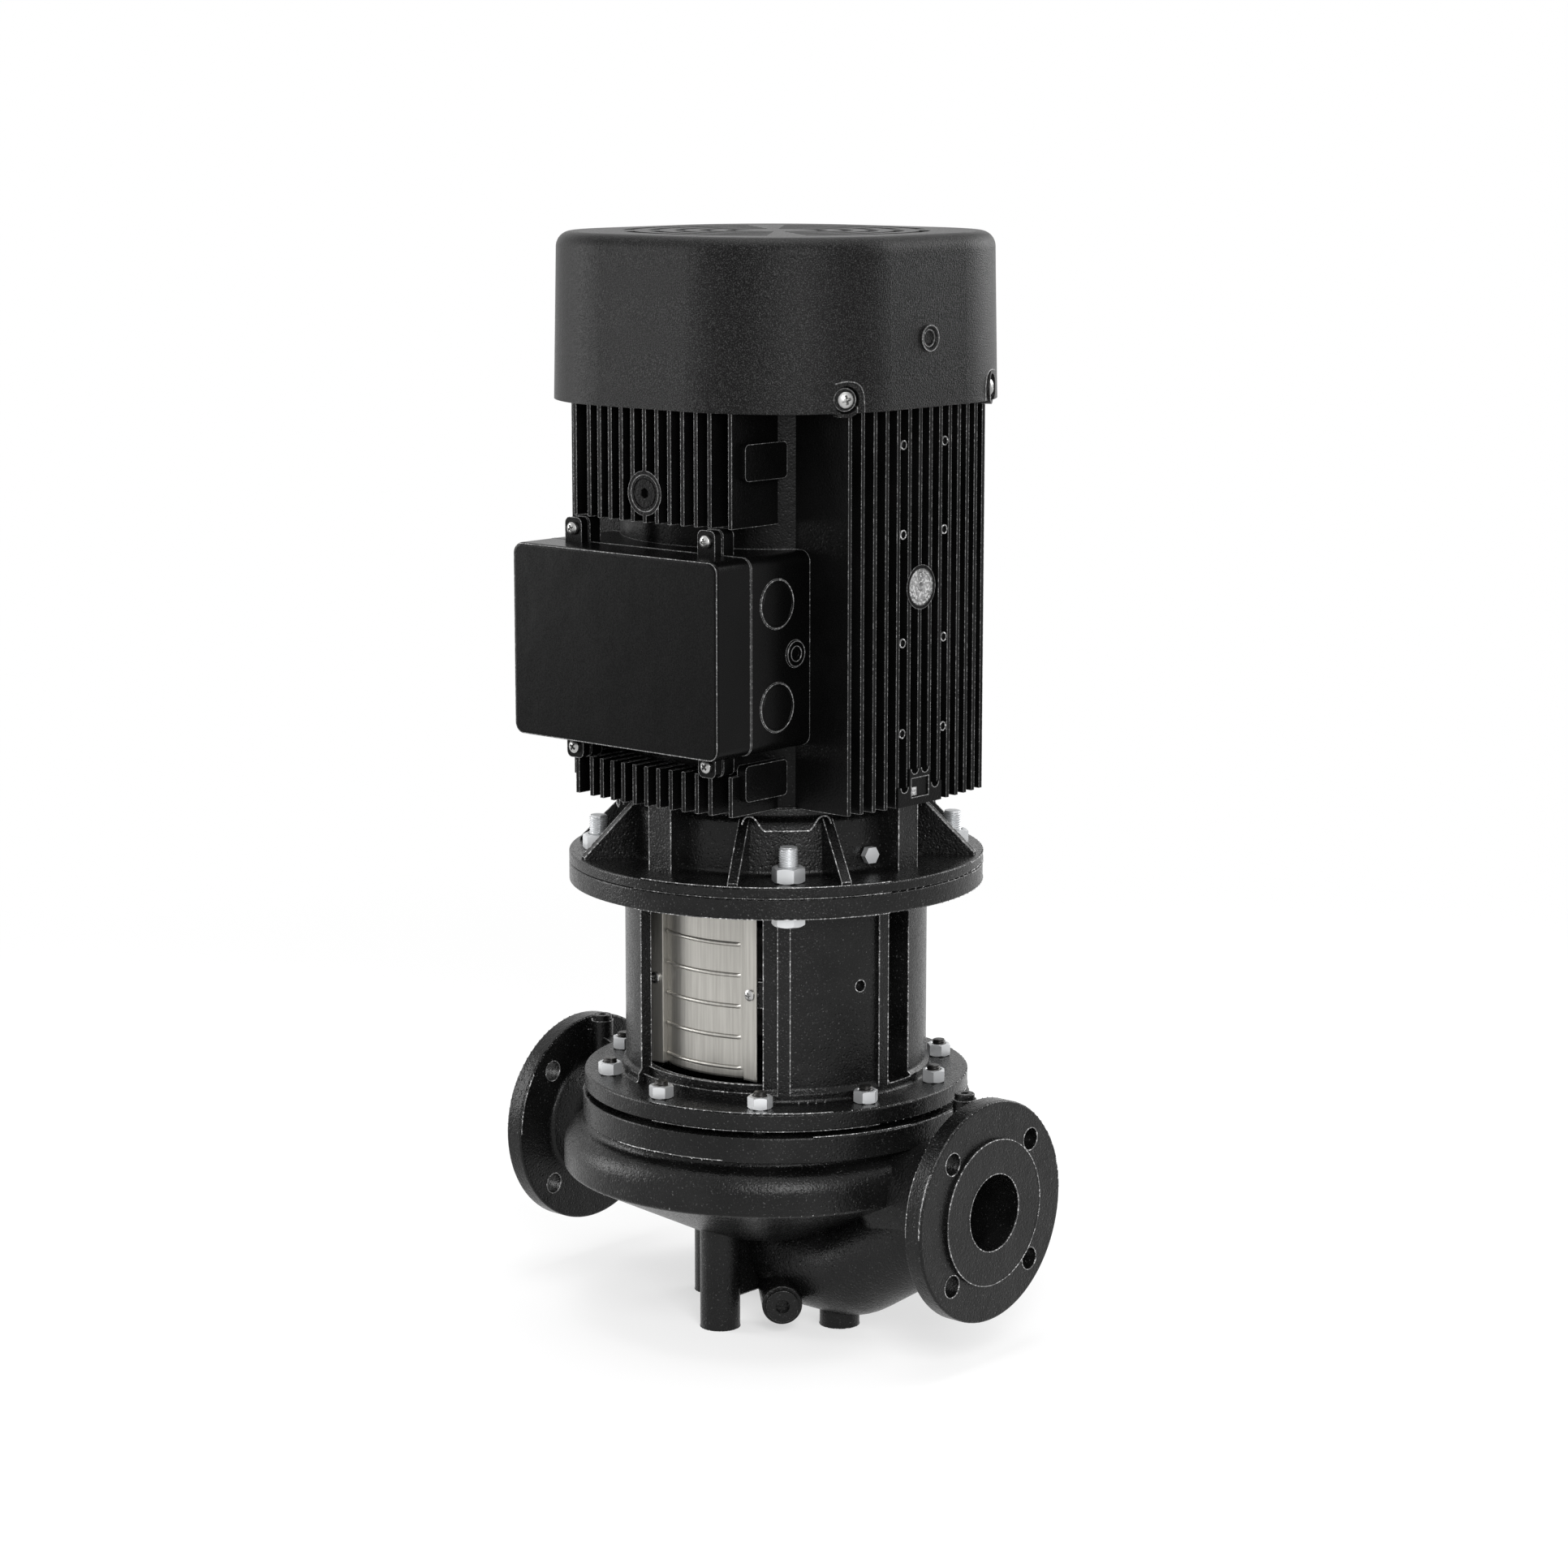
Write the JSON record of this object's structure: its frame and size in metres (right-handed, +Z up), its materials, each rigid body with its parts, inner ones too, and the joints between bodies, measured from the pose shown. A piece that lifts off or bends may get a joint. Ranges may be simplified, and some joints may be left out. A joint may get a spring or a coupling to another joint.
{
  "type": "inline centrifugal pump",
  "caption": "Vertical inline centrifugal pump: spiral casing with opposed pipe flanges, windowed stool, finned flange motor with terminal box and fan cover.",
  "frame": {"origin": "on the shaft axis at the underside of the feet", "axes": "+Z up along the shaft towards the fan, +X towards the suction flange, -Y towards the terminal box"},
  "size_m": [0.475, 0.374, 0.922],
  "materials": {
    "pump_housing": "black paint, semi-gloss, fine sand-cast texture",
    "drain_plug": "zinc plated",
    "gauge_plugs": "zinc plated",
    "housing_wear_ring": "brushed stainless",
    "seal_cover": "black paint, semi-gloss, fine sand-cast texture",
    "cover_gasket": "soft",
    "air_vent_screw": "zinc plated",
    "seal_seat": "hard carbon and moulded parts",
    "motor_stool": "black paint, semi-gloss, fine sand-cast texture",
    "housing_studs": "zinc plated",
    "housing_nuts": "zinc plated",
    "front_coupling_guard": "brushed stainless",
    "rear_coupling_guard": "brushed stainless",
    "guard_screws": "zinc plated",
    "drive_end_shield": "black paint, semi-gloss, fine sand-cast texture",
    "flange_bolts": "zinc plated",
    "flange_nuts": "zinc plated",
    "earth_screw": "zinc plated",
    "motor_frame": "black gloss paint",
    "frame_plugs": "black",
    "stator_core": "ground",
    "stator_windings": "enamelled copper and brass",
    "drive_end_bearing_outer_ring": "ground",
    "fan_end_bearing_outer_ring": "ground",
    "fan_end_shield": "black paint, semi-gloss, fine sand-cast texture",
    "fan_cover": "charcoal, grained",
    "fan_cover_screws": "zinc plated",
    "fan_cover_plug": "charcoal, grained",
    "terminal_box_base": "black gloss paint",
    "cable_entry_plugs": "charcoal, grained",
    "cable_blanking_plugs": "charcoal, grained",
    "terminal_box_gasket": "soft",
    "terminal_box_lid": "black gloss paint",
    "lid_screws": "zinc plated",
    "terminal_block": "hard carbon and moulded parts",
    "terminal_posts": "enamelled copper and brass",
    "impeller": "machined",
    "impeller_lock_washer": "zinc plated",
    "impeller_nut": "zinc plated",
    "pump_shaft": "brushed stainless",
    "seal_ring": "hard carbon and moulded parts",
    "seal_bellows": "soft",
    "front_coupling_half": "machined",
    "rear_coupling_half": "machined",
    "coupling_screws": "zinc plated",
    "coupling_pin": "zinc plated",
    "motor_shaft": "brushed stainless",
    "rotor_core": "ground",
    "drive_end_bearing_inner_ring": "ground",
    "fan_end_bearing_inner_ring": "ground",
    "shaft_seal_ring": "soft",
    "fan": "charcoal, grained",
    "fan_retaining_ring": "zinc plated"
  },
  "bodies": {
    "pump": {"pump_housing": "pump_housing", "drain_plug": "drain_plug", "gauge_plugs": "gauge_plugs", "housing_wear_ring": "housing_wear_ring", "seal_cover": "seal_cover", "cover_gasket": "cover_gasket", "air_vent_screw": "air_vent_screw", "seal_seat": "seal_seat", "motor_stool": "motor_stool", "housing_studs": "housing_studs", "housing_nuts": "housing_nuts", "front_coupling_guard": "front_coupling_guard", "rear_coupling_guard": "rear_coupling_guard", "guard_screws": "guard_screws", "drive_end_shield": "drive_end_shield", "flange_bolts": "flange_bolts", "flange_nuts": "flange_nuts", "earth_screw": "earth_screw", "motor_frame": "motor_frame", "frame_plugs": "frame_plugs", "stator_core": "stator_core", "stator_windings": "stator_windings", "drive_end_bearing_outer_ring": "drive_end_bearing_outer_ring", "fan_end_bearing_outer_ring": "fan_end_bearing_outer_ring", "fan_end_shield": "fan_end_shield", "fan_cover": "fan_cover", "fan_cover_screws": "fan_cover_screws", "fan_cover_plug": "fan_cover_plug", "terminal_box_base": "terminal_box_base", "cable_entry_plugs": "cable_entry_plugs", "cable_blanking_plugs": "cable_blanking_plugs", "terminal_box_gasket": "terminal_box_gasket", "terminal_box_lid": "terminal_box_lid", "lid_screws": "lid_screws", "terminal_block": "terminal_block", "terminal_posts": "terminal_posts"},
    "rotor": {"impeller": "impeller", "impeller_lock_washer": "impeller_lock_washer", "impeller_nut": "impeller_nut", "pump_shaft": "pump_shaft", "seal_ring": "seal_ring", "seal_bellows": "seal_bellows", "front_coupling_half": "front_coupling_half", "rear_coupling_half": "rear_coupling_half", "coupling_screws": "coupling_screws", "coupling_pin": "coupling_pin", "motor_shaft": "motor_shaft", "rotor_core": "rotor_core", "drive_end_bearing_inner_ring": "drive_end_bearing_inner_ring", "fan_end_bearing_inner_ring": "fan_end_bearing_inner_ring", "shaft_seal_ring": "shaft_seal_ring", "fan": "fan", "fan_retaining_ring": "fan_retaining_ring"}
  },
  "joints": [
    {"name": "shaft_spin", "type": "hinge", "parent": "pump", "child": "rotor", "pos_m": [0, 0, 0.3], "axis": [0, 0, 1], "continuous": true}
  ]
}
